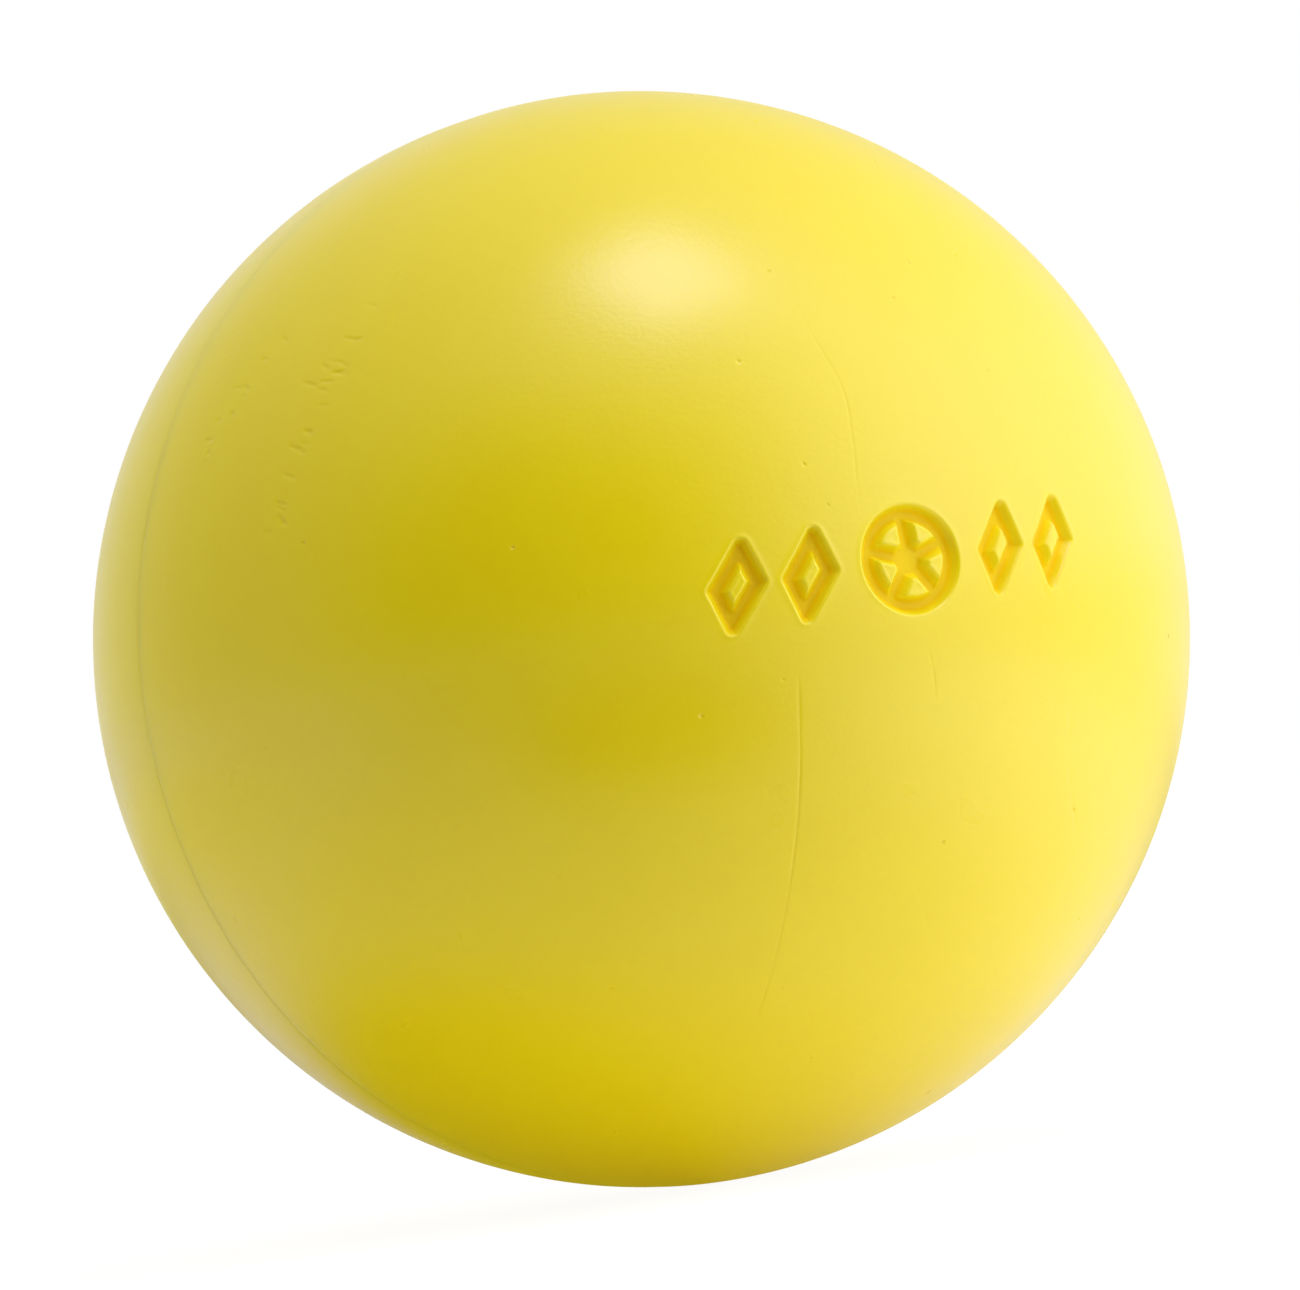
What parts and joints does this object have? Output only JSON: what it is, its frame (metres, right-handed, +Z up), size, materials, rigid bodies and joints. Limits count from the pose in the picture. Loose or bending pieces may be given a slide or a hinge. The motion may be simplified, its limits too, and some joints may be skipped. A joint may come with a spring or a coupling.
{
  "type": "table football ball",
  "caption": "Small round yellow match ball for table football: two moulded cover halves meeting at a fine seam round a light foam core, with a shallow sunk mark on one half.",
  "frame": {"origin": "centre of the ball", "axes": "+Z up; the common axis of the two cover halves is Y, and the seam lies in the XZ plane; the half with the sunk mark faces -Y, and the mark's row runs towards +X"},
  "size_m": [0.033, 0.0331, 0.033],
  "materials": {
    "yellow_cover": "satin",
    "foam": "matte"
  },
  "bodies": {
    "root": {"marked_half": "yellow_cover", "plain_half": "yellow_cover", "foam_core": "foam"}
  },
  "joints": []
}
